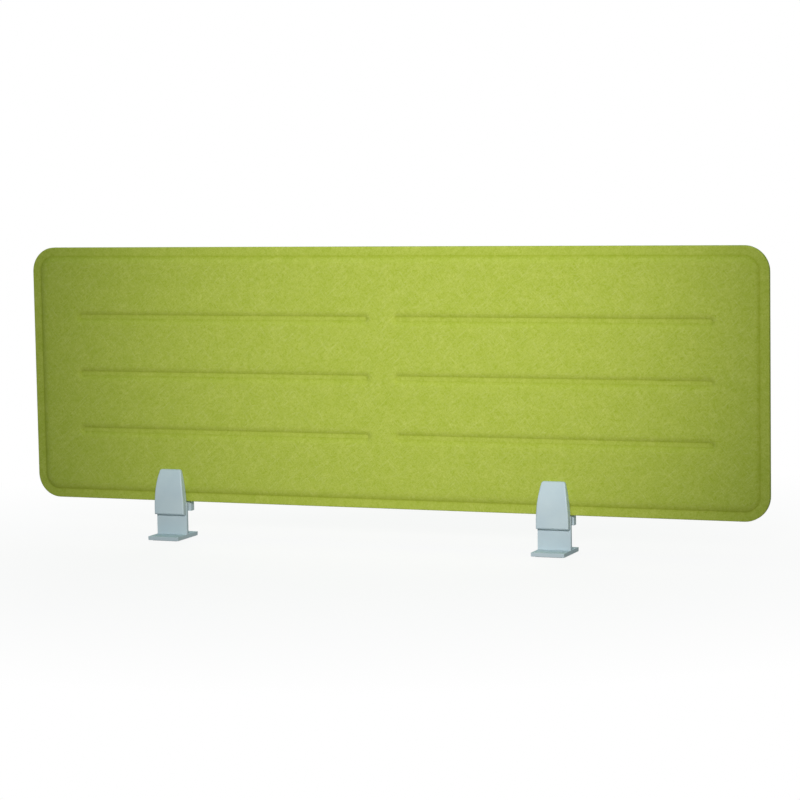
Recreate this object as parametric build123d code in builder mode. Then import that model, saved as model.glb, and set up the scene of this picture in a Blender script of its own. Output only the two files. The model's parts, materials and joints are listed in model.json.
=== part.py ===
from build123d import *
import os

# Desk privacy panel, in millimetres.
# +Z is up. The origin lies on the desk top, midway along the panel and in the middle
# plane of the two feet's upright webs. The front of the panel faces -Y.

FRONT, REAR = -1, 1

# Panel
PANEL_LENGTH = 1200
PANEL_HEIGHT = 400
PANEL_BOTTOM = 59
PANEL_MIDPLANE = 7
CORNER_RADIUS = 38
RIM_WIDTH = 14
RIM_HALF_THICKNESS = 4.25
FIELD_HALF_THICKNESS = 7.5
FIELD_EDGE_ROUND = 3
FELT_THICKNESS = 4
SHELL_WALL = 4
BOND_FILM_THICKNESS = 0.3
BOND_FILM_INSET = 1
CORE_SIDE_GAP = 0.5
CORE_FACE_GAP = 0.1

# Pressed grooves, two columns of three on each face
GROOVE_LENGTH = 492
GROOVE_WIDTH = 8
GROOVE_DEPTH = 2.5
GROOVE_EDGE_ROUND = 2.3
GROOVE_COLUMN_SPACING = 540
GROOVE_ROW_SPACING = 90

# Clamp feet
BRACKET_CENTRES = {"left": -360, "right": 274}
BRACKET_WIDTH = 52
WEB_THICKNESS = 5.5
WEB_TOP_GAP = 1
FOOT_DEPTH = 71
FOOT_THICKNESS = 6
FOOT_BEVEL = 1
FOOT_PAD_THICKNESS = 1
FOOT_PAD_SIZE = (46, 60)
FOOT_PAD_RADIUS = 4
SEAT_WIDTH = 34
SEAT_HEIGHT = 14
SEAT_GAP = 0.05
SEAT_TO_REAR_JAW = 0.6
CASTING_ROUND = 0.6
CASTING_EDGE_BREAK = 0.4

# Jaws, measured outwards from the panel's middle plane
JAW_WIDTH = 51
JAW_BELOW_PANEL = {FRONT: 20, REAR: 16.5}
JAW_ABOVE_EDGE = 51
JAW_INNER = 7.9
JAW_OUTER = 20
JAW_OUTER_AT_TOP = 11.4
JAW_TOP_WIDTH = 36
JAW_SIDE_CURVE_START = 14
JAW_FACE_CURVE_START = 8
JAW_BOTTOM_CHAMFER = 2
JAW_TOP_CORNER_RADIUS = 4
JAW_EDGE_ROUND = 2
JAW_NOTCH_CLEARANCE = 0.2
JAW_NOTCH_OVERRUN = 1

# Grip pads set into the jaws
GRIP_PAD_SIZE = (26, 28)
GRIP_PAD_RADIUS = 3
GRIP_PAD_THICKNESS = 1.5
GRIP_PAD_PROUD = 0.3
GRIP_PAD_CENTRE_ABOVE_EDGE = 32
POCKET_SIDE_GAP = 0.1

# M5 x 30 socket head screws and M5 nuts
SCREW_SPACING = 20
SCREW_BELOW_PANEL = 8.5
SCREW_RADIUS = 2.5
SCREW_LENGTH = 30
SCREW_HEAD_RADIUS = 4.25
SCREW_HEAD_HEIGHT = 5
SCREW_SOCKET_FLATS = 4
SCREW_SOCKET_DEPTH = 2.5
SCREW_EDGE_BREAK = 0.4
SCREW_HOLE_RADIUS = 2.75
COUNTERBORE_RADIUS = 4.6
COUNTERBORE_DEPTH = 7
HEAD_SEAT_GAP = 0.05
NUT_FLATS = 8
NUT_HEIGHT = 4
NUT_BORE_RADIUS = 2.55
NUT_FLAT_GAP = 0.1
NUT_POCKET_DEPTH = 4.2
SCREW_TIP_HOLE_END = 17.6

PANEL_MID_HEIGHT = PANEL_BOTTOM + PANEL_HEIGHT / 2
CAVITY_FACE = FIELD_HALF_THICKNESS - FELT_THICKNESS
FOOT_TOP = FOOT_PAD_THICKNESS + FOOT_THICKNESS
JAW_TOP = PANEL_BOTTOM + JAW_ABOVE_EDGE
SCREW_HEIGHT = PANEL_BOTTOM - SCREW_BELOW_PANEL

os.makedirs("parts", exist_ok=True)


def write(part, name):
    part.label = name
    export_step(part, f"parts/{name}.step")


def face_plane(side, outwards=0, x=0, z=0):
    """The plane parallel to the panel, outwards mm from its middle plane, facing out on that side."""
    origin = (x, PANEL_MIDPLANE + side * outwards, z)
    return Plane(origin=origin, x_dir=(-side, 0, 0), z_dir=(0, side, 0))


def side_plane(side, x):
    """An upright plane across the panel at x, whose first axis points out on that side."""
    return Plane(origin=(x, PANEL_MIDPLANE, 0), x_dir=(0, side, 0), z_dir=(side, 0, 0))


def rounded_outline(inset):
    """The panel's rounded outline, drawn inset mm inside its edge."""
    RectangleRounded(
        PANEL_LENGTH - 2 * inset, PANEL_HEIGHT - 2 * inset, CORNER_RADIUS - inset
    )


def felt_shell(side):
    """One pressed felt half: a flat rim, a raised field with six grooves, and a hollow back."""
    with BuildPart() as shell:
        with BuildSketch(face_plane(side, BOND_FILM_THICKNESS / 2, z=PANEL_MID_HEIGHT)):
            rounded_outline(0)
        extrude(amount=RIM_HALF_THICKNESS - BOND_FILM_THICKNESS / 2)
        with BuildSketch(face_plane(side, RIM_HALF_THICKNESS, z=PANEL_MID_HEIGHT)):
            rounded_outline(RIM_WIDTH)
        extrude(amount=FIELD_HALF_THICKNESS - RIM_HALF_THICKNESS)
        outer_face = shell.faces().sort_by(Axis.Y)[-1 if side == REAR else 0]
        fillet(outer_face.edges(), FIELD_EDGE_ROUND)
        with BuildSketch(face_plane(side, FIELD_HALF_THICKNESS, z=PANEL_MID_HEIGHT)):
            with GridLocations(GROOVE_COLUMN_SPACING, GROOVE_ROW_SPACING, 2, 3):
                SlotOverall(GROOVE_LENGTH, GROOVE_WIDTH)
        extrude(amount=-GROOVE_DEPTH, mode=Mode.SUBTRACT)
        outer_face = shell.faces().sort_by(Axis.Y)[-1 if side == REAR else 0]
        groove_edges = [wire.edges() for wire in outer_face.inner_wires()]
        fillet(groove_edges, GROOVE_EDGE_ROUND)
        with BuildSketch(face_plane(side, 0, z=PANEL_MID_HEIGHT)):
            rounded_outline(RIM_WIDTH + SHELL_WALL)
        extrude(amount=CAVITY_FACE, mode=Mode.SUBTRACT)
    return shell.part


write(felt_shell(FRONT), "front_felt_shell")
write(felt_shell(REAR), "rear_felt_shell")

# Stiff board that fills the hollow between the two shells.
with BuildPart() as core_board:
    with BuildSketch(face_plane(REAR, 0, z=PANEL_MID_HEIGHT)):
        rounded_outline(RIM_WIDTH + SHELL_WALL + CORE_SIDE_GAP)
    extrude(amount=CAVITY_FACE - CORE_FACE_GAP, both=True)
write(core_board.part, "core_board")

# Heat-bonding film that joins the two rims.
with BuildPart() as bond_film:
    with BuildSketch(face_plane(REAR, 0, z=PANEL_MID_HEIGHT)):
        rounded_outline(BOND_FILM_INSET)
        with BuildSketch(mode=Mode.SUBTRACT):
            rounded_outline(RIM_WIDTH + SHELL_WALL)
    extrude(amount=BOND_FILM_THICKNESS / 2, both=True)
write(bond_film.part, "rim_bond_film")


def screw_places(side, outwards, x):
    """The planes of the two clamp screws, facing out on that side."""
    return [
        face_plane(side, outwards, x + offset, SCREW_HEIGHT)
        for offset in (-SCREW_SPACING / 2, SCREW_SPACING / 2)
    ]


def stand(x):
    """A T-shaped casting: foot plate, upright web and the seat that carries the panel's edge."""
    web_half = WEB_THICKNESS / 2
    foot_half = FOOT_DEPTH / 2
    web_top = PANEL_BOTTOM - WEB_TOP_GAP
    with BuildPart() as casting:
        with BuildSketch(Plane.YZ.offset(x)):
            with BuildLine():
                Polyline(
                    (-foot_half + FOOT_BEVEL, FOOT_PAD_THICKNESS),
                    (foot_half - FOOT_BEVEL, FOOT_PAD_THICKNESS),
                    (foot_half, FOOT_TOP),
                    (web_half, FOOT_TOP),
                    (web_half, web_top),
                    (-web_half, web_top),
                    (-web_half, FOOT_TOP),
                    (-foot_half, FOOT_TOP),
                    close=True,
                )
            make_face()
            fillet(vertices(), CASTING_ROUND)
        extrude(amount=BRACKET_WIDTH / 2, both=True)
        ends = casting.faces().filter_by(Axis.X)
        fillet(ends.edges(), CASTING_EDGE_BREAK)
        seat_depth = PANEL_MIDPLANE + JAW_INNER - SEAT_TO_REAR_JAW - web_half
        with BuildSketch(Plane.XY.offset(PANEL_BOTTOM - SEAT_GAP)):
            with Locations((x, web_half + seat_depth / 2)):
                Rectangle(SEAT_WIDTH, seat_depth)
        extrude(amount=-SEAT_HEIGHT)
        with BuildSketch(Plane.XZ.offset(web_half)):
            with Locations((x, SCREW_HEIGHT)):
                with GridLocations(SCREW_SPACING, 1, 2, 1):
                    Circle(SCREW_HOLE_RADIUS)
        extrude(amount=-(WEB_THICKNESS + seat_depth), mode=Mode.SUBTRACT)
    return casting.part


def jaw(side, x):
    """A tapering jaw with a soft front, and a pocket for its grip pad in the face that meets the felt."""
    half_bottom = JAW_WIDTH / 2
    half_top = JAW_TOP_WIDTH / 2
    bottom = PANEL_BOTTOM - JAW_BELOW_PANEL[side]
    side_curve_start = PANEL_BOTTOM - JAW_SIDE_CURVE_START
    face_curve_start = PANEL_BOTTOM + JAW_FACE_CURVE_START
    with BuildPart() as body:
        with BuildSketch(face_plane(side, JAW_INNER, x)):
            with BuildLine():
                Line((-half_bottom, bottom), (half_bottom, bottom))
                flank = Line((half_bottom, bottom), (half_bottom, side_curve_start))
                TangentArc((half_bottom, side_curve_start), (half_top, JAW_TOP), tangent=flank % 1)
                Line((half_top, JAW_TOP), (-half_top, JAW_TOP))
                opposite = Line((-half_bottom, bottom), (-half_bottom, side_curve_start))
                TangentArc(
                    (-half_bottom, side_curve_start), (-half_top, JAW_TOP), tangent=opposite % 1
                )
            make_face()
            fillet(vertices().group_by(Axis.Y)[-1], JAW_TOP_CORNER_RADIUS)
        extrude(amount=JAW_OUTER - JAW_INNER)
        with BuildSketch(side_plane(side, x)):
            with BuildLine():
                Polyline(
                    (JAW_OUTER, face_curve_start),
                    (JAW_OUTER, bottom + JAW_BOTTOM_CHAMFER),
                    (JAW_OUTER - JAW_BOTTOM_CHAMFER, bottom),
                    (JAW_INNER, bottom),
                    (JAW_INNER, JAW_TOP),
                    (JAW_OUTER_AT_TOP, JAW_TOP),
                )
                TangentArc((JAW_OUTER, face_curve_start), (JAW_OUTER_AT_TOP, JAW_TOP), tangent=(0, 1))
            make_face()
        extrude(amount=JAW_WIDTH, both=True, mode=Mode.INTERSECT)
        fillet(outer_edges(body, side), JAW_EDGE_ROUND)
        pocket_depth = GRIP_PAD_THICKNESS - GRIP_PAD_PROUD
        pad_height = PANEL_BOTTOM + GRIP_PAD_CENTRE_ABOVE_EDGE
        with BuildSketch(face_plane(side, JAW_INNER, x, pad_height)):
            RectangleRounded(
                GRIP_PAD_SIZE[0] + 2 * POCKET_SIDE_GAP,
                GRIP_PAD_SIZE[1] + 2 * POCKET_SIDE_GAP,
                GRIP_PAD_RADIUS,
            )
        extrude(amount=pocket_depth, mode=Mode.SUBTRACT)
    return body.part


def outer_edges(body, side):
    """The edges round the jaw's outer face: both long edges and the top one."""
    nearly_along = 0.9
    chamfer_top = PANEL_BOTTOM - JAW_BELOW_PANEL[side] + JAW_BOTTOM_CHAMFER
    away_from_inner_face = (JAW_INNER + JAW_OUTER_AT_TOP) / 2
    below_top_edge = JAW_TOP - JAW_TOP_CORNER_RADIUS / 2

    def on_the_rim(edge):
        middle = edge.center()
        outwards = side * (middle.Y - PANEL_MIDPLANE)
        direction = edge.tangent_at(0.5)
        crosses_the_face = abs(direction.X) > nearly_along and middle.Z < below_top_edge
        runs_through = abs(direction.Y) > nearly_along
        on_outer_face = outwards > away_from_inner_face and middle.Z > chamfer_top
        return on_outer_face and not (crosses_the_face or runs_through)

    return body.edges().filter_by(on_the_rim)


def front_jaw(x):
    """The front jaw, notched to sit over the web, with blind pockets for the two nuts."""
    web_face = PANEL_MIDPLANE + WEB_THICKNESS / 2
    with BuildPart() as body:
        add(jaw(FRONT, x))
        notch_height = PANEL_BOTTOM - WEB_TOP_GAP + JAW_NOTCH_CLEARANCE
        with BuildSketch(face_plane(FRONT, 0, x, notch_height)):
            Rectangle(
                JAW_WIDTH + 2 * JAW_NOTCH_OVERRUN,
                PANEL_BOTTOM,
                align=(Align.CENTER, Align.MAX),
            )
        extrude(amount=web_face, mode=Mode.SUBTRACT)
        for plane in screw_places(FRONT, web_face, x):
            with BuildSketch(plane):
                RegularPolygon(NUT_FLATS / 2 + NUT_FLAT_GAP, 6, major_radius=False)
            extrude(amount=NUT_POCKET_DEPTH, mode=Mode.SUBTRACT)
            with BuildSketch(plane):
                Circle(SCREW_HOLE_RADIUS)
            extrude(amount=SCREW_TIP_HOLE_END - web_face, mode=Mode.SUBTRACT)
    return body.part


def rear_jaw(x):
    """The rear jaw, with counterbored holes for the two clamp screws."""
    with BuildPart() as body:
        add(jaw(REAR, x))
        for plane in screw_places(REAR, JAW_OUTER, x):
            with Locations(plane):
                CounterBoreHole(
                    SCREW_HOLE_RADIUS, COUNTERBORE_RADIUS, COUNTERBORE_DEPTH, JAW_OUTER - JAW_INNER
                )
    return body.part


def grip_pad(side, x):
    """A soft pad in the jaw's pocket, standing a little proud of the jaw."""
    pad_height = PANEL_BOTTOM + GRIP_PAD_CENTRE_ABOVE_EDGE
    with BuildPart() as pad:
        with BuildSketch(face_plane(side, JAW_INNER - GRIP_PAD_PROUD, x, pad_height)):
            RectangleRounded(*GRIP_PAD_SIZE, GRIP_PAD_RADIUS)
        extrude(amount=GRIP_PAD_THICKNESS)
    return pad.part


def clamp_screw(plane):
    """A socket head screw whose head rests on the plane and whose shank runs back through it."""
    with BuildPart() as screw:
        with BuildSketch(plane):
            Circle(SCREW_HEAD_RADIUS)
        extrude(amount=SCREW_HEAD_HEIGHT)
        with BuildSketch(plane):
            Circle(SCREW_RADIUS)
        extrude(amount=-SCREW_LENGTH)
        rims = screw.edges().filter_by(GeomType.CIRCLE).sort_by(Axis.Y)
        chamfer([rims[0], rims[-1]], SCREW_EDGE_BREAK)
        with BuildSketch(plane.offset(SCREW_HEAD_HEIGHT)):
            RegularPolygon(SCREW_SOCKET_FLATS / 2, 6, major_radius=False)
        extrude(amount=-SCREW_SOCKET_DEPTH, mode=Mode.SUBTRACT)
    return screw.part


def clamp_nuts(x):
    """The two hexagon nuts held in the front jaw."""
    pocket_bottom_gap = (NUT_POCKET_DEPTH - NUT_HEIGHT) / 2
    nut_face = PANEL_MIDPLANE + WEB_THICKNESS / 2 + pocket_bottom_gap
    with BuildPart() as nuts:
        for plane in screw_places(FRONT, nut_face, x):
            with BuildSketch(plane):
                RegularPolygon(NUT_FLATS / 2, 6, major_radius=False)
                Circle(NUT_BORE_RADIUS, mode=Mode.SUBTRACT)
            extrude(amount=NUT_HEIGHT)
    return nuts.part


def foot_pad(x):
    """A thin non-slip pad under the foot plate."""
    with BuildPart() as pad:
        with BuildSketch(Plane.XY):
            with Locations((x, 0)):
                RectangleRounded(*FOOT_PAD_SIZE, FOOT_PAD_RADIUS)
        extrude(amount=FOOT_PAD_THICKNESS)
    return pad.part


for name, centre in BRACKET_CENTRES.items():
    write(stand(centre), f"{name}_stand")
    write(front_jaw(centre), f"{name}_front_jaw")
    write(rear_jaw(centre), f"{name}_rear_jaw")
    write(grip_pad(FRONT, centre), f"{name}_front_grip_pad")
    write(grip_pad(REAR, centre), f"{name}_rear_grip_pad")
    write(clamp_nuts(centre), f"{name}_clamp_nuts")
    write(foot_pad(centre), f"{name}_foot_pad")
    head_seat = JAW_OUTER - COUNTERBORE_DEPTH + HEAD_SEAT_GAP
    for number, plane in enumerate(screw_places(REAR, head_seat, centre), start=1):
        write(clamp_screw(plane), f"{name}_clamp_screw_{number}")
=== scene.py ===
import json
import math

import bmesh
import bpy
import numpy as np
from mathutils import Matrix, Vector


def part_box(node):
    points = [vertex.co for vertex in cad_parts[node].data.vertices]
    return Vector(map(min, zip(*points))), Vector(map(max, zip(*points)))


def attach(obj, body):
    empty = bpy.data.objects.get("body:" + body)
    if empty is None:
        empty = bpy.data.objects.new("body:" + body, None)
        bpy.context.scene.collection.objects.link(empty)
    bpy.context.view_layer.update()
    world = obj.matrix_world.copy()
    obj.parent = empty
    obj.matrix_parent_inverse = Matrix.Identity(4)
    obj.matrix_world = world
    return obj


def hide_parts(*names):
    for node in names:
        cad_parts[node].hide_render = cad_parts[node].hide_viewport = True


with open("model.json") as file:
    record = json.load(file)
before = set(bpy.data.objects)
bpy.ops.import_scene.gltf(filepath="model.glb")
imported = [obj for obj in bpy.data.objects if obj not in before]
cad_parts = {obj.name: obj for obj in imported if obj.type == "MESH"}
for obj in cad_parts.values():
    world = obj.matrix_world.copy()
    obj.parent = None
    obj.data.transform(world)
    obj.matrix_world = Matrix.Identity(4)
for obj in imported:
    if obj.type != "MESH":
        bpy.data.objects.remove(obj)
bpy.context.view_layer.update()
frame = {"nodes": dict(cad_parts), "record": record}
scene = bpy.context.scene
scene.view_settings.view_transform = "Standard"

MM = 0.001
SHARP_ANGLE = math.radians(50)

# ---------------------------------------------------------------- camera

LENS = 116.86
SENSOR_WIDTH = 36
FARTHEST_SEEN = 100
CAMERA_PLACE = (1.4863, -3.6397, 0.5905)
CAMERA_YAW, CAMERA_PITCH, CAMERA_ROLL = (math.radians(a) for a in (21.811, -5.304, -0.965))

camera = bpy.data.objects.new("camera", bpy.data.cameras.new("camera"))
scene.collection.objects.link(camera)
scene.camera = camera
camera.data.lens = LENS
camera.data.sensor_width = SENSOR_WIDTH
camera.data.clip_end = FARTHEST_SEEN


def camera_matrix():
    """The camera's matrix from its place, its yaw left of +Y, its pitch above level and its roll."""
    yaw, pitch, roll = CAMERA_YAW, CAMERA_PITCH, CAMERA_ROLL
    ahead = Vector(
        (-math.sin(yaw) * math.cos(pitch), math.cos(yaw) * math.cos(pitch), math.sin(pitch))
    )
    level = Vector((math.cos(yaw), math.sin(yaw), 0))
    up = level.cross(ahead)
    right = level * math.cos(roll) + up * math.sin(roll)
    top = up * math.cos(roll) - level * math.sin(roll)
    axes = Matrix((right, top, -ahead)).transposed().to_4x4()
    return Matrix.Translation(CAMERA_PLACE) @ axes


camera.matrix_world = camera_matrix()

# ---------------------------------------------------------------- material helpers

# A rounded normal's dot product with the plain one, on an edge and on a flat face.
ON_EDGE, ON_FACE = 0.9, 0.995


class Nodes:
    """A short way to build one material's node tree. Scales are in cycles to the metre."""

    def __init__(self, name):
        self.material = bpy.data.materials.new(name)
        self.material.use_nodes = True
        self.tree = self.material.node_tree
        self.shader = self.tree.nodes["Principled BSDF"]
        self.output = self.tree.nodes["Material Output"]
        self.place = self.add("ShaderNodeTexCoord").outputs["Object"]

    def add(self, kind, **settings):
        node = self.tree.nodes.new(kind)
        for key, value in settings.items():
            setattr(node, key, value)
        return node

    def feed(self, socket, value):
        if isinstance(value, bpy.types.NodeSocket):
            self.tree.links.new(value, socket)
        else:
            socket.default_value = value

    def noise(self, scale, detail=3, roughness=0.55, at=None, distortion=0):
        node = self.add("ShaderNodeTexNoise")
        self.feed(node.inputs["Vector"], at or self.place)
        node.inputs["Scale"].default_value = scale
        node.inputs["Detail"].default_value = detail
        node.inputs["Roughness"].default_value = roughness
        node.inputs["Distortion"].default_value = distortion
        return node.outputs["Fac"]

    def streaks(self, angle, along, across):
        """Noise drawn out along a line at that angle, in degrees, in the panel's plane."""
        turn = self.add("ShaderNodeMapping")
        self.feed(turn.inputs["Vector"], self.place)
        turn.inputs["Rotation"].default_value = (0, math.radians(angle), 0)
        stretch = self.add("ShaderNodeMapping")
        self.feed(stretch.inputs["Vector"], turn.outputs[0])
        stretch.inputs["Scale"].default_value = (along, across, across)
        return self.noise(1, 2, 0.5, at=stretch.outputs[0], distortion=0.4)

    def ramp(self, value, low, high, to_low=0.0, to_high=1.0):
        node = self.add("ShaderNodeMapRange")
        self.feed(node.inputs["Value"], value)
        for key, number in (
            ("From Min", low),
            ("From Max", high),
            ("To Min", to_low),
            ("To Max", to_high),
        ):
            node.inputs[key].default_value = number
        return node.outputs["Result"]

    def math(self, operation, a, b=0.0):
        node = self.add("ShaderNodeMath", operation=operation)
        self.feed(node.inputs[0], a)
        self.feed(node.inputs[1], b)
        return node.outputs[0]

    def mix(self, factor, a, b, blend="MIX"):
        node = self.add("ShaderNodeMix", data_type="RGBA", blend_type=blend)
        self.feed(node.inputs["Factor"], factor)
        self.feed(node.inputs["A"], a)
        self.feed(node.inputs["B"], b)
        return node.outputs["Result"]

    def attribute(self, name):
        return self.add("ShaderNodeAttribute", attribute_name=name).outputs["Fac"]

    def bump(self, height, strength, distance):
        node = self.add("ShaderNodeBump")
        self.feed(node.inputs["Height"], height)
        self.feed(node.inputs["Strength"], strength)
        node.inputs["Distance"].default_value = distance
        return node.outputs["Normal"]

    def edges(self, radius):
        """1 on convex and concave edges and 0 on flat faces, from how far a rounded normal leans."""
        bevel = self.add("ShaderNodeBevel", samples=6)
        bevel.inputs["Radius"].default_value = radius
        geometry = self.add("ShaderNodeNewGeometry")
        dot = self.add("ShaderNodeVectorMath", operation="DOT_PRODUCT")
        self.feed(dot.inputs[0], bevel.outputs[0])
        self.feed(dot.inputs[1], geometry.outputs["Normal"])
        return self.ramp(dot.outputs["Value"], ON_EDGE, ON_FACE, 1.0, 0.0)

    def finish(self, **sockets):
        """Feeds the shader's sockets, named with _ for each space, and gives the material."""
        for key, value in sockets.items():
            self.feed(self.shader.inputs[key.replace("_", " ")], value)
        return self.material


def colour(r, g, b):
    """An sRGB colour, 0 to 255, as linear RGBA."""

    def linear(v):
        v /= 255
        return v / 12.92 if v <= 0.04045 else ((v + 0.055) / 1.055) ** 2.4

    return (linear(r), linear(g), linear(b), 1)


# ---------------------------------------------------------------- materials

FELT_CLUMPS = (colour(150, 168, 42), colour(180, 192, 84))
FELT_MOTTLE = colour(188, 200, 97)
FELT_CLOUD = colour(152, 172, 46)
FELT_FIBRE = colour(140, 158, 36)
FELT_LINT = colour(194, 203, 122)
FELT_SHEEN = colour(225, 233, 170)
CREASE_SHADE_TINT = (0.78, 0.79, 0.42, 1)


def felt_material():
    """Mottled felt with fine crossing fibres, smoother and less linty where it is pressed, with painted
    shade in the creases.
    """
    n = Nodes("felt")
    pressed = n.attribute("pressed")
    cloud = n.noise(38, 4, 0.6)
    mottle = n.noise(420, 4, 0.7)
    fibre = n.noise(850, 3, 0.7)
    clump = n.noise(170, 5, 0.75, distortion=0.6)
    rising = n.ramp(n.streaks(41, 55, 900), 0.56, 0.72)
    falling = n.ramp(n.streaks(-52, 60, 820), 0.57, 0.74)
    wander = n.ramp(n.streaks(8, 80, 1000), 0.6, 0.76)
    strokes = n.math("MAXIMUM", n.math("MAXIMUM", rising, falling), wander)
    base = n.mix(n.ramp(clump, 0.36, 0.66), *FELT_CLUMPS)
    base = n.mix(n.ramp(mottle, 0.36, 0.66, 0, 0.7), base, FELT_MOTTLE)
    base = n.mix(n.ramp(cloud, 0.35, 0.65, 0, 0.35), base, FELT_CLOUD)
    base = n.mix(n.ramp(fibre, 0.4, 0.7, 0, 0.4), base, FELT_FIBRE)
    lint = n.math("MULTIPLY", strokes, n.ramp(pressed, 0, 1, 0.34, 0.12))
    base = n.mix(lint, base, FELT_LINT)
    # Painted shade: the felt is darkened and tinted deeper yellow-green at the foot of each pressed
    # shoulder, in the creases of the rim and grooves.
    crease_shade_mask = n.math("MULTIPLY", n.attribute("crease_shade"), n.ramp(mottle, 0.3, 0.7, 0.65, 0.95))
    base = n.mix(crease_shade_mask, base, CREASE_SHADE_TINT, "MULTIPLY")
    height = n.math("ADD", n.math("MULTIPLY", mottle, 0.6), n.math("MULTIPLY", fibre, 0.4))
    height = n.math("ADD", height, n.math("MULTIPLY", strokes, 0.25))
    normal = n.bump(height, n.ramp(pressed, 0, 1, 0.55, 0.3), 0.4 * MM)
    return n.finish(
        Base_Color=base,
        Roughness=n.ramp(pressed, 0, 1, 0.94, 0.86),
        Normal=normal,
        Specular_IOR_Level=0.2,
        Sheen_Weight=0.12,
        Sheen_Roughness=0.45,
        Sheen_Tint=FELT_SHEEN,
    )


def paint_material():
    """Satin powder coat: a slow change of tone, fine orange peel and paler edges."""
    n = Nodes("painted_casting")
    tone = n.noise(22, 3, 0.5)
    speck = n.noise(2600, 2, 0.5)
    peel = n.noise(900, 3, 0.5)
    scuffs = n.noise(260, 4, 0.7)
    base = n.mix(n.ramp(tone, 0.35, 0.65), colour(187, 205, 213), colour(194, 211, 217))
    base = n.mix(n.ramp(speck, 0.62, 0.8, 0, 0.25), base, colour(205, 215, 220))
    rim = n.edges(0.9 * MM)
    worn = n.math("MULTIPLY", rim, n.ramp(scuffs, 0.45, 0.7, 0.15, 0.75))
    base = n.mix(worn, base, colour(208, 216, 220))
    normal = n.bump(n.math("ADD", peel, n.math("MULTIPLY", speck, 0.4)), 0.16, 0.2 * MM)
    return n.finish(
        Base_Color=base,
        Roughness=n.ramp(peel, 0.3, 0.7, 0.42, 0.52),
        Normal=normal,
        Specular_IOR_Level=0.5,
        Coat_Weight=0.08,
        Coat_Roughness=0.35,
    )


def rubber_material(name, dark, light, scale, depth):
    """Matt rubber between two sRGB colours, with grain of that scale and depth and a little dust."""
    n = Nodes(name)
    grain = n.noise(scale, 3, 0.6)
    dust = n.noise(70, 4, 0.6)
    base = n.mix(n.ramp(grain, 0.35, 0.65), colour(*dark), colour(*light))
    base = n.mix(n.ramp(dust, 0.5, 0.8, 0, 0.25), base, colour(110, 110, 108))
    rim = n.edges(0.5 * MM)
    base = n.mix(n.math("MULTIPLY", rim, 0.35), base, colour(96, 97, 98))
    return n.finish(
        Base_Color=base,
        Roughness=n.ramp(dust, 0.3, 0.7, 0.7, 0.85),
        Normal=n.bump(grain, 0.5, depth),
        Specular_IOR_Level=0.3,
    )


# Across the screws' axis, along it, and across it.
TURNING_SCALE = (300, 9000, 300)


def turned_lines(n):
    """Places stretched round the screws' axis, so that noise reads as turning marks."""
    stretch = n.add("ShaderNodeMapping")
    n.feed(stretch.inputs["Vector"], n.place)
    stretch.inputs["Scale"].default_value = TURNING_SCALE
    return stretch.outputs[0]


def steel_material():
    n = Nodes("zinc_steel")
    tone = n.noise(160, 3, 0.6)
    turned = n.noise(1, 3, 0.6, at=turned_lines(n))
    base = n.mix(n.ramp(tone, 0.35, 0.65), colour(176, 179, 182), colour(196, 197, 194))
    rim = n.edges(0.3 * MM)
    base = n.mix(n.math("MULTIPLY", rim, 0.5), base, colour(222, 223, 222))
    return n.finish(
        Base_Color=base,
        Metallic=1.0,
        Roughness=n.ramp(tone, 0.3, 0.7, 0.26, 0.4),
        Normal=n.bump(turned, 0.2, 0.05 * MM),
    )


def board_material():
    n = Nodes("core")
    chips = n.noise(650, 5, 0.7)
    patch = n.noise(45, 3, 0.5)
    base = n.mix(n.ramp(chips, 0.3, 0.7), colour(146, 116, 78), colour(186, 158, 117))
    base = n.mix(n.ramp(patch, 0.4, 0.7, 0, 0.4), base, colour(164, 134, 95))
    return n.finish(Base_Color=base, Roughness=0.9, Normal=n.bump(chips, 0.4, 0.3 * MM))


def film_material():
    n = Nodes("bond_film")
    cloud = n.noise(120, 4, 0.6)
    base = n.mix(n.ramp(cloud, 0.3, 0.7), colour(216, 218, 208), colour(232, 233, 226))
    return n.finish(
        Base_Color=base,
        Roughness=n.ramp(cloud, 0.3, 0.7, 0.45, 0.6),
        Normal=n.bump(cloud, 0.2, 0.1 * MM),
    )


materials = {
    "felt": felt_material(),
    "core": board_material(),
    "bond_film": film_material(),
    "painted_casting": paint_material(),
    "grip_rubber": rubber_material(
        "grip_rubber", dark=(52, 54, 57), light=(74, 76, 79), scale=1600, depth=0.15 * MM
    ),
    "foot_foam": rubber_material(
        "foot_foam", dark=(36, 37, 39), light=(58, 59, 61), scale=1100, depth=0.3 * MM
    ),
    "zinc_steel": steel_material(),
}
for part in frame["record"]["subparts"]:
    cad_object = frame["nodes"][part["node"]]
    for cad_slot in cad_object.material_slots:
        cad_slot.material = materials[part["material_slot"]]

# ---------------------------------------------------------------- felt halves

shell_low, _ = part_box("front_felt_shell")
_, shell_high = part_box("rear_felt_shell")
PANEL_CENTRE = (shell_low + shell_high) / 2
HALF_LENGTH = (shell_high.x - shell_low.x) / 2
HALF_HEIGHT = (shell_high.z - shell_low.z) / 2
CORNER_RADIUS = 38 * MM
RIM_WIDTH = 14 * MM
RIM_EDGE_ROUND = 1.4 * MM
SEAM_ROUND = 0.7 * MM
SHOULDER_WIDTH = 13 * MM
HOLLOW_INSET = 18 * MM
# Distances out from the panel's middle plane.
FIELD_HEIGHT = (shell_high.y - shell_low.y) / 2
RIM_HEIGHT = 4.25 * MM
HOLLOW_HEIGHT = 3.5 * MM
FILM_HALF = 0.15 * MM

# The grooves' places are from the panel's centre. Each has a flat floor and a sloping shoulder.
GROOVE_COLUMNS = (-270 * MM, 270 * MM)
GROOVE_ROWS = (-90 * MM, 0, 90 * MM)
GROOVE_REACH = 246 * MM
GROOVE_HALF_WIDTH = 3.4 * MM
GROOVE_SHOULDER = 9.5 * MM
GROOVE_DEPTH = 2.5 * MM

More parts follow.
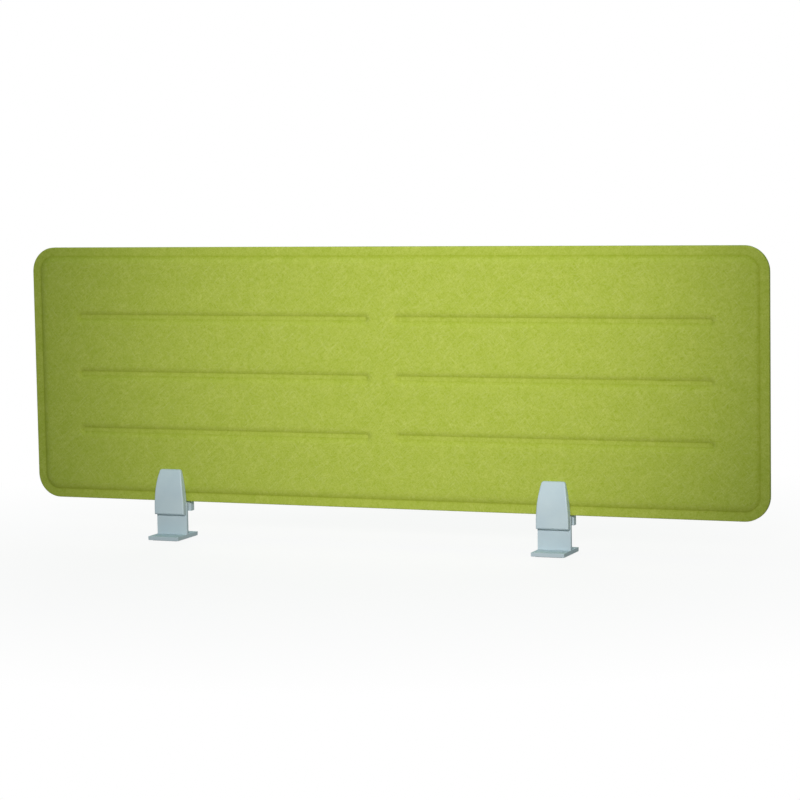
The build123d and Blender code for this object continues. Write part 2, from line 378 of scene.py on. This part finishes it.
# Each wave's length in metres, direction in degrees and phase in radians.
WAVES = ((0.31, 18, 0.4), (0.173, 74, 1.9), (0.117, -37, 3.1), (0.083, 51, 5.2))
WAVE_DEPTH = 0.06 * MM

# How far the pressed look carries past the rim and past a groove's floor.
PRESSED_PAST_RIM = 4 * MM
PRESSED_PAST_FLOOR = 2 * MM
# How far the painted crease shade carries up the shoulders. Below their feet it carries a
# CREASE_START as far. The falloff is the power it fades by, and GROOVE_CREASE its strength there.
CREASE_UP_RIM = 0.6 * SHOULDER_WIDTH
CREASE_UP_GROOVE = 0.75 * GROOVE_SHOULDER
CREASE_START = 1 / 4
CREASE_FALLOFF = 1.6
GROOVE_CREASE = 0.6


def shoulder(t):
    """A pressed edge from 0 to 1: steepest where it leaves the low side and rolling over softly."""
    return 1 - (1 - np.clip(t, 0, 1)) ** 2


def groove_distance(x, z):
    """How far each point is from the nearest groove's middle line."""
    least = np.full(np.shape(x), 1.0)
    for column in GROOVE_COLUMNS:
        for row in GROOVE_ROWS:
            past_end = np.maximum(np.abs(x - column) - (GROOVE_REACH - GROOVE_HALF_WIDTH), 0)
            least = np.minimum(least, np.hypot(past_end, z - row))
    return least


def waviness(x, z, side):
    """Slow unevenness of the pressed felt, from crossing waves of unrelated lengths."""
    total = np.zeros(np.shape(x))
    for length, angle, phase in WAVES:
        a = math.radians(angle)
        along = x * math.cos(a) + z * math.sin(a)
        total += np.sin(along * 2 * math.pi / length + phase + side)
    return total * WAVE_DEPTH


def outer_height(x, z, inset, side):
    """The felt's outer face, in metres out from the panel's middle plane."""
    edge = np.clip(inset / RIM_EDGE_ROUND, 0, 1)
    rim = RIM_HEIGHT - RIM_EDGE_ROUND * (1 - np.sqrt(1 - (1 - edge) ** 2))
    up_shoulder = (inset - RIM_WIDTH) / SHOULDER_WIDTH
    rise = (FIELD_HEIGHT - RIM_HEIGHT) * shoulder(up_shoulder)
    up_groove = (groove_distance(x, z) - GROOVE_HALF_WIDTH) / GROOVE_SHOULDER
    sunk = GROOVE_DEPTH * (1 - shoulder(up_groove))
    # Only the waves' hollows are kept, so that the felt stays inside its box.
    dip = np.minimum(waviness(x, z, side), 0) * np.clip(up_shoulder, 0, 1)
    return rim + rise - sunk + dip


def pressed_share(x, z, inset):
    """1 where the press has squeezed the felt, on the rim and the groove floors, and 0 on the field."""
    past_rim = (inset - RIM_WIDTH) / PRESSED_PAST_RIM
    past_floor = (groove_distance(x, z) - GROOVE_HALF_WIDTH) / PRESSED_PAST_FLOOR
    return 1 - np.clip(np.minimum(past_rim, past_floor), 0, 1)


def crease_shade_share(x, z, inset):
    """Painted shade in the creases: most at the foot of each pressed shoulder, less up its slope."""

    def fading(t):
        return np.clip(np.where(t < 0, 1 + t / CREASE_START, 1 - t), 0, 1) ** CREASE_FALLOFF

    at_rim = fading((inset - RIM_WIDTH) / CREASE_UP_RIM)
    at_floor = fading((groove_distance(x, z) - GROOVE_HALF_WIDTH) / CREASE_UP_GROOVE)
    return np.maximum(at_rim, GROOVE_CREASE * at_floor)


# The mesh's lines: evenly spaced over the field, and closer where the felt bends.
STEP_X, STEP_Z = 6 * MM, 5 * MM
CLEAR_OF_FINE = 0.6
ACROSS_GROOVE = (0.6, 1.8, 2.8, 3.2, 3.4, 3.6, 4, 4.6, 5.4, 6.4, 7.6, 9, 10.6, 12.9)
OVER_RIM = (0, 0.12, 0.4, 0.85, 1.4, 3.5, 7, 10.5, 13, 13.7)
UP_SHOULDER = (14, 14.2, 14.5, 14.95, 15.5, 16.2, 17, 18, 19.2, 20.6, 22.2, 24, 26, 29, 33)
RING_INSETS = [inset * MM for inset in OVER_RIM + UP_SHOULDER]
ARC_STEPS = 14
CUT_EDGE_SHARES = (0.35, 0.7)
SEAM_TURNS = (0, 30, 60, 90)
SIDE_X, SIDE_Z = HALF_LENGTH - CORNER_RADIUS, HALF_HEIGHT - CORNER_RADIUS
GROOVE_TIPS = [c + s * (GROOVE_REACH - GROOVE_HALF_WIDTH) for c in GROOVE_COLUMNS for s in (-1, 1)]


def spaced(reach, step, bends):
    """Sorted places from -reach to reach, about step apart, and closer on both sides of bends."""
    fine = np.array([b + s * o * MM for b in bends for o in ACROSS_GROOVE for s in (-1, 1)])
    fine = fine[np.abs(fine) < reach]
    coarse = np.linspace(-reach, reach, round(2 * reach / step) + 1)
    ends = (-reach, reach)
    keep = [c for c in coarse if np.min(np.abs(fine - c)) > CLEAR_OF_FINE * step or c in ends]
    return np.unique(np.round(np.concatenate([keep, fine]), 6))


grid_x = spaced(SIDE_X, STEP_X, GROOVE_TIPS)
grid_z = spaced(SIDE_Z, STEP_Z, GROOVE_ROWS)


def loop_places(inset):
    """The loop inset from the outline, anticlockwise seen with +X right and +Z up, as (x, z) rows.
    Its straights carry the grid's lines, so every loop has the same number of points."""
    reach = CORNER_RADIUS - inset
    sides = [
        (grid_x, -SIDE_Z, 0, -1),
        (SIDE_X, grid_z, 1, 0),
        (grid_x[::-1], SIDE_Z, 0, 1),
        (-SIDE_X, grid_z[::-1], -1, 0),
    ]
    rows = []
    for number, (x, z, out_x, out_z) in enumerate(sides):
        x, z = np.broadcast_arrays(x, z)
        rows.append(np.column_stack([x + out_x * reach, z + out_z * reach]))
        turn = math.radians(-90 + 90 * number) + np.linspace(0, math.pi / 2, ARC_STEPS + 1)[1:-1]
        corner = np.array([x[-1], z[-1]])
        rows.append(corner + reach * np.column_stack([np.cos(turn), np.sin(turn)]))
    return np.concatenate(rows)


def felt_half(side, name, node):
    """One pressed half as a closed mesh: outer face, cut edge, back of the rim and hollow.
    The side is -1 for the front half and 1 for the rear one."""
    nx, nz = len(grid_x), len(grid_z)
    x, z = np.meshgrid(grid_x, grid_z, indexing="ij")
    x, z = x.ravel(), z.ravel()
    inset = np.minimum(HALF_LENGTH - np.abs(x), HALF_HEIGHT - np.abs(z))
    places = [np.column_stack([x, z])]
    heights = [outer_height(x, z, inset, side)]
    squeezed = [pressed_share(x, z, inset)]
    crease_shade = [crease_shade_share(x, z, inset)]
    faces = []

    def at(i, k):
        return i * nz + k

    for i in range(nx - 1):
        for k in range(nz - 1):
            faces.append((at(i, k), at(i + 1, k), at(i + 1, k + 1), at(i, k + 1)))

    def add_loop(loop_inset, height=None, share=1.0):
        """Adds one loop, on the outer face unless it has a height, and gives its first number."""
        rows = loop_places(loop_inset)
        start = sum(len(p) for p in places)
        places.append(rows)
        if height is None:
            heights.append(outer_height(rows[:, 0], rows[:, 1], loop_inset, side))
            squeezed.append(pressed_share(rows[:, 0], rows[:, 1], loop_inset))
            crease_shade.append(crease_shade_share(rows[:, 0], rows[:, 1], loop_inset))
        else:
            heights.append(np.full(len(rows), height))
            squeezed.append(np.full(len(rows), share))
            crease_shade.append(np.zeros(len(rows)))
        return start

    count = len(loop_places(0))
    border = [at(i, 0) for i in range(nx)] + [at(nx - 1, 0)] * (ARC_STEPS - 1)
    border += [at(nx - 1, k) for k in range(nz)] + [at(nx - 1, nz - 1)] * (ARC_STEPS - 1)
    border += [at(i, nz - 1) for i in reversed(range(nx))] + [at(0, nz - 1)] * (ARC_STEPS - 1)
    border += [at(0, k) for k in reversed(range(nz))] + [at(0, 0)] * (ARC_STEPS - 1)

    def join(outer, inner):
        """Faces between two loops, with a fan where the inner one stays on a corner."""
        for a in range(count):
            b = (a + 1) % count
            ring = (outer[a], outer[b], inner[b], inner[a])
            faces.append(tuple(dict.fromkeys(ring)))

    def numbers(start):
        return list(range(start, start + count))

    last = border
    for loop_inset in reversed(RING_INSETS):
        loop = numbers(add_loop(loop_inset))
        join(loop, last)
        last = loop
    cut_top, cut_bottom = RIM_HEIGHT - RIM_EDGE_ROUND, SEAM_ROUND + FILM_HALF
    for share in CUT_EDGE_SHARES:
        loop = numbers(add_loop(0, cut_top + share * (cut_bottom - cut_top)))
        join(loop, last)
        last = loop
    for turn in SEAM_TURNS:
        a = math.radians(turn)
        loop = numbers(
            add_loop(SEAM_ROUND * (1 - math.cos(a)), FILM_HALF + SEAM_ROUND * (1 - math.sin(a)))
        )
        join(loop, last)
        last = loop
    for loop_inset, height in (
        (HOLLOW_INSET, FILM_HALF),
        (HOLLOW_INSET, HOLLOW_HEIGHT),
        (RING_INSETS[-1], HOLLOW_HEIGHT),
    ):
        loop = numbers(add_loop(loop_inset, height, 0.0))
        join(loop, last)
        last = loop
    # The hollow's flat roof: one strip for each step along the panel, and a face for each end.
    top_start = nx + nz + 2 * (ARC_STEPS - 1)
    bottom, top = last[:nx], last[top_start : top_start + nx][::-1]
    right = last[nx - 1 : top_start + 1]
    left = last[top_start + nx - 1 :] + [last[0]]
    for i in range(nx - 1):
        faces.append((bottom[i + 1], bottom[i], top[i], top[i + 1]))
    faces.append(tuple(reversed(right)))
    faces.append(tuple(reversed(left)))

    places, heights = np.concatenate(places), np.concatenate(heights)
    points = np.column_stack(
        [
            PANEL_CENTRE.x + places[:, 0],
            PANEL_CENTRE.y + side * heights,
            PANEL_CENTRE.z + places[:, 1],
        ]
    )
    mesh = bpy.data.meshes.new(name)
    if side > 0:
        faces = [tuple(reversed(face)) for face in faces]
    mesh.from_pydata(points.tolist(), [], faces)
    # The first attribute marks the pressed felt. The second places the painted shade in the creases.
    for attribute, shares in (("pressed", squeezed), ("crease_shade", crease_shade)):
        layer = mesh.attributes.new(attribute, "FLOAT", "POINT")
        layer.data.foreach_set("value", np.concatenate(shares).astype(np.float32))
    mesh.validate()
    mesh.shade_smooth()
    mesh.set_sharp_from_angle(angle=SHARP_ANGLE)
    mesh.materials.append(materials["felt"])
    felt = bpy.data.objects.new(name, mesh)
    scene.collection.objects.link(felt)
    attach(felt, "panel")
    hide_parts(node)


felt_half(-1, "front_felt", "front_felt_shell")
felt_half(1, "rear_felt", "rear_felt_shell")

# ---------------------------------------------------------------- grip and foot pads

PAD_EDGE_ROUND = 0.35 * MM
PAD_EDGE_STEPS = np.array([0, 0.04, 0.12, 0.35]) * MM
PAD_BORDER = 2 * PAD_EDGE_ROUND
PAD_COLUMNS = 9
GRIP_CORNER = 3 * MM
SOLE_CORNER = 4 * MM
RIB_SPACING = 3.5 * MM
RIB_DEPTH = 0.25 * MM
RIB_SAMPLES = 8


def body_of(node):
    """The name of the body that holds that node."""
    bodies = frame["record"]["behaviour"]["bodies"]
    return next(name for name, nodes in bodies.items() if node in nodes)


def edge_distance(u, v, half_u, half_v, radius):
    """How far each point lies inside a rounded rectangle's edge."""
    over_u, over_v = np.abs(u) - (half_u - radius), np.abs(v) - (half_v - radius)
    outside = np.hypot(np.maximum(over_u, 0), np.maximum(over_v, 0))
    return radius - outside - np.minimum(np.maximum(over_u, over_v), 0)


def ribbed_pad(name, node, slot, axes, facing, radius):
    """A thin moulded pad in its node's box: rounded edge, and ribs on the face it grips with.
    The axes are the ones along the ribs, across them and out of the face, and facing is the
    direction of that face on its axis."""
    low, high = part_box(node)
    centre, half = (low + high) / 2, (high - low) / 2
    along, across, out = axes
    half_u, half_v, half_t = half[along], half[across], half[out]
    inner = half_v - PAD_BORDER
    ribs = round(2 * inner / RIB_SPACING)
    ribbed = np.linspace(-inner, inner, ribs * RIB_SAMPLES + 1)
    rows = np.concatenate([-half_v + PAD_EDGE_STEPS, ribbed, half_v - PAD_EDGE_STEPS[::-1]])
    shares = np.linspace(-1, 1, PAD_COLUMNS)
    points, heights = [], []
    for v in rows:
        past = max(abs(v) - (half_v - radius), 0)
        reach = half_u - radius + math.sqrt(max(radius**2 - past**2, 0))
        flat = (reach - PAD_BORDER) * shares
        line = np.concatenate([-reach + PAD_EDGE_STEPS, flat, reach - PAD_EDGE_STEPS[::-1]])
        inset = np.clip(edge_distance(line, v, half_u, half_v, radius) / PAD_EDGE_ROUND, 0, 1)
        drop = PAD_EDGE_ROUND * (1 - np.sqrt(1 - (1 - inset) ** 2))
        phase = (v + inner) / (2 * inner) * ribs
        valley = (1 - math.cos(2 * math.pi * phase)) / 2 if abs(v) < inner else 0
        points.append(np.column_stack([line, np.full(len(line), v)]))
        heights.append(half_t - drop - RIB_DEPTH * valley * inset)
    columns = len(points[0])
    points, heights = np.concatenate(points), np.concatenate(heights)
    layers = []
    for height in (heights, np.full(len(heights), -half_t)):
        place = np.tile(np.array(centre), (len(points), 1))
        place[:, along] += points[:, 0]
        place[:, across] += points[:, 1]
        place[:, out] += facing * height
        layers.append(place)
    mesh = bmesh.new()
    front, back = ([mesh.verts.new(p) for p in layer] for layer in layers)
    for layer in (front, back):
        for i in range(len(rows) - 1):
            for k in range(columns - 1):
                a = i * columns + k
                mesh.faces.new((layer[a], layer[a + 1], layer[a + columns + 1], layer[a + columns]))
    last = (len(rows) - 1) * columns
    border = list(range(columns)) + [i * columns + columns - 1 for i in range(1, len(rows))]
    border += [last + k for k in reversed(range(columns - 1))]
    border += [i * columns for i in reversed(range(1, len(rows) - 1))]
    for a, b in zip(border, border[1:] + border[:1]):
        mesh.faces.new((front[a], front[b], back[b], back[a]))
    bmesh.ops.recalc_face_normals(mesh, faces=mesh.faces)
    data = bpy.data.meshes.new(name)
    mesh.to_mesh(data)
    mesh.free()
    data.shade_smooth()
    data.set_sharp_from_angle(angle=SHARP_ANGLE)
    data.materials.append(materials[slot])
    pad = bpy.data.objects.new(name, data)
    scene.collection.objects.link(pad)
    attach(pad, body_of(node))
    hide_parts(node)


X, Y, Z = range(3)
for hand in ("left", "right"):
    for place, facing in (("front", 1), ("rear", -1)):
        grip = f"{hand}_{place}_grip"
        ribbed_pad(grip, f"{grip}_pad", "grip_rubber", (X, Z, Y), facing, GRIP_CORNER)
    ribbed_pad(f"{hand}_foot_sole", f"{hand}_foot_pad", "foot_foam", (X, Y, Z), -1, SOLE_CORNER)

# ---------------------------------------------------------------- floor and light

FLOOR_REACH = 14
# The floor's share of plain white near the object, and the distances over which that grows to all.
FLOOR_GLOW = 0.88
GLOW_START, GLOW_END = 0.35, 1.1
# The floor and sky look white to the camera, and light the object by this much.
SKY_LIGHT = 0.2
SKY_TINT = (0.72, 1, 0.92)
WHITE = (1, 1, 1)
floor_mesh = bpy.data.meshes.new("floor")
floor_mesh.from_pydata(
    [(x * FLOOR_REACH, y * FLOOR_REACH, 0) for x, y in ((-1, -1), (1, -1), (1, 1), (-1, 1))],
    [],
    [(0, 1, 2, 3)],
)
floor = bpy.data.objects.new("floor", floor_mesh)
scene.collection.objects.link(floor)


def floor_material():
    """Pale and matt round the object, and as bright as the background far from it."""
    n = Nodes("floor")
    distance = n.add("ShaderNodeVectorMath", operation="LENGTH")
    n.feed(distance.inputs[0], n.place)
    far = n.ramp(distance.outputs["Value"], GLOW_START, GLOW_END, FLOOR_GLOW, 1.0)
    grain = n.noise(60, 3, 0.5)
    n.finish(
        Base_Color=n.mix(grain, colour(240, 240, 240), colour(244, 244, 244)),
        Roughness=0.9,
        Specular_IOR_Level=0.1,
    )
    glow = n.add("ShaderNodeEmission")
    glow.inputs["Color"].default_value = (*WHITE, 1)
    seen_directly = n.add("ShaderNodeLightPath").outputs["Is Camera Ray"]
    n.feed(glow.inputs["Strength"], n.ramp(seen_directly, 0, 1, SKY_LIGHT, 1.0))
    both = n.add("ShaderNodeMixShader")
    n.feed(both.inputs[0], far)
    n.feed(both.inputs[1], n.shader.outputs[0])
    n.feed(both.inputs[2], glow.outputs[0])
    n.feed(n.output.inputs["Surface"], both.outputs[0])
    return n.material


floor_mesh.materials.append(floor_material())

world = bpy.data.worlds.new("world")
world.use_nodes = True
scene.world = world
sky_nodes, sky_links = world.node_tree.nodes, world.node_tree.links
seen = sky_nodes["Background"]
seen.inputs["Color"].default_value = (*WHITE, 1)
seen.inputs["Strength"].default_value = 1
lit = sky_nodes.new("ShaderNodeBackground")
lit.inputs["Color"].default_value = (*SKY_TINT, 1)
lit.inputs["Strength"].default_value = SKY_LIGHT
path = sky_nodes.new("ShaderNodeLightPath")
choose = sky_nodes.new("ShaderNodeMixShader")
sky_links.new(path.outputs["Is Camera Ray"], choose.inputs[0])
sky_links.new(lit.outputs[0], choose.inputs[1])
sky_links.new(seen.outputs[0], choose.inputs[2])
sky_links.new(choose.outputs[0], sky_nodes["World Output"].inputs["Surface"])


def add_lamp(name, data, place, target):
    lamp = bpy.data.objects.new(name, data)
    scene.collection.objects.link(lamp)
    lamp.location = place
    lamp.rotation_euler = (Vector(target) - Vector(place)).to_track_quat("-Z", "Y").to_euler()
    lamp.visible_camera = False
    return lamp


def softbox(name, place, target, size, power, tint=WHITE):
    data = bpy.data.lights.new(name, "AREA")
    data.shape = "RECTANGLE"
    data.size, data.size_y = size
    data.energy = power
    data.color = tint
    return add_lamp(name, data, place, target)


def spot(name, place, target, radius, cone, power, tint=WHITE):
    """A round lamp whose light fades softly from the middle of its cone to the edge."""
    data = bpy.data.lights.new(name, "SPOT")
    data.shadow_soft_size = radius
    data.spot_size = math.radians(cone)
    data.spot_blend = 1
    data.energy = power
    data.color = tint
    return add_lamp(name, data, place, target)


softbox(
    "overhead", place=(0.1, -0.2, 2.3), target=(0, 0, 0), size=(3.2, 2.2), power=11, tint=SKY_TINT
)
spot(
    "key",
    place=(1.05, -2.85, 1.1),
    target=(0.04, 0, 0.35),
    radius=0.28,
    cone=28.5,
    power=395,
    tint=(1, 0.95, 0.95),
)
rear_fill = softbox(
    "rear_fill", place=(-1.3, 2.6, 0.8), target=(0, 0, 0.25), size=(1.8, 1.0), power=54
)
# Without this the foot plates' tops glare towards the camera.
rear_fill.visible_glossy = False
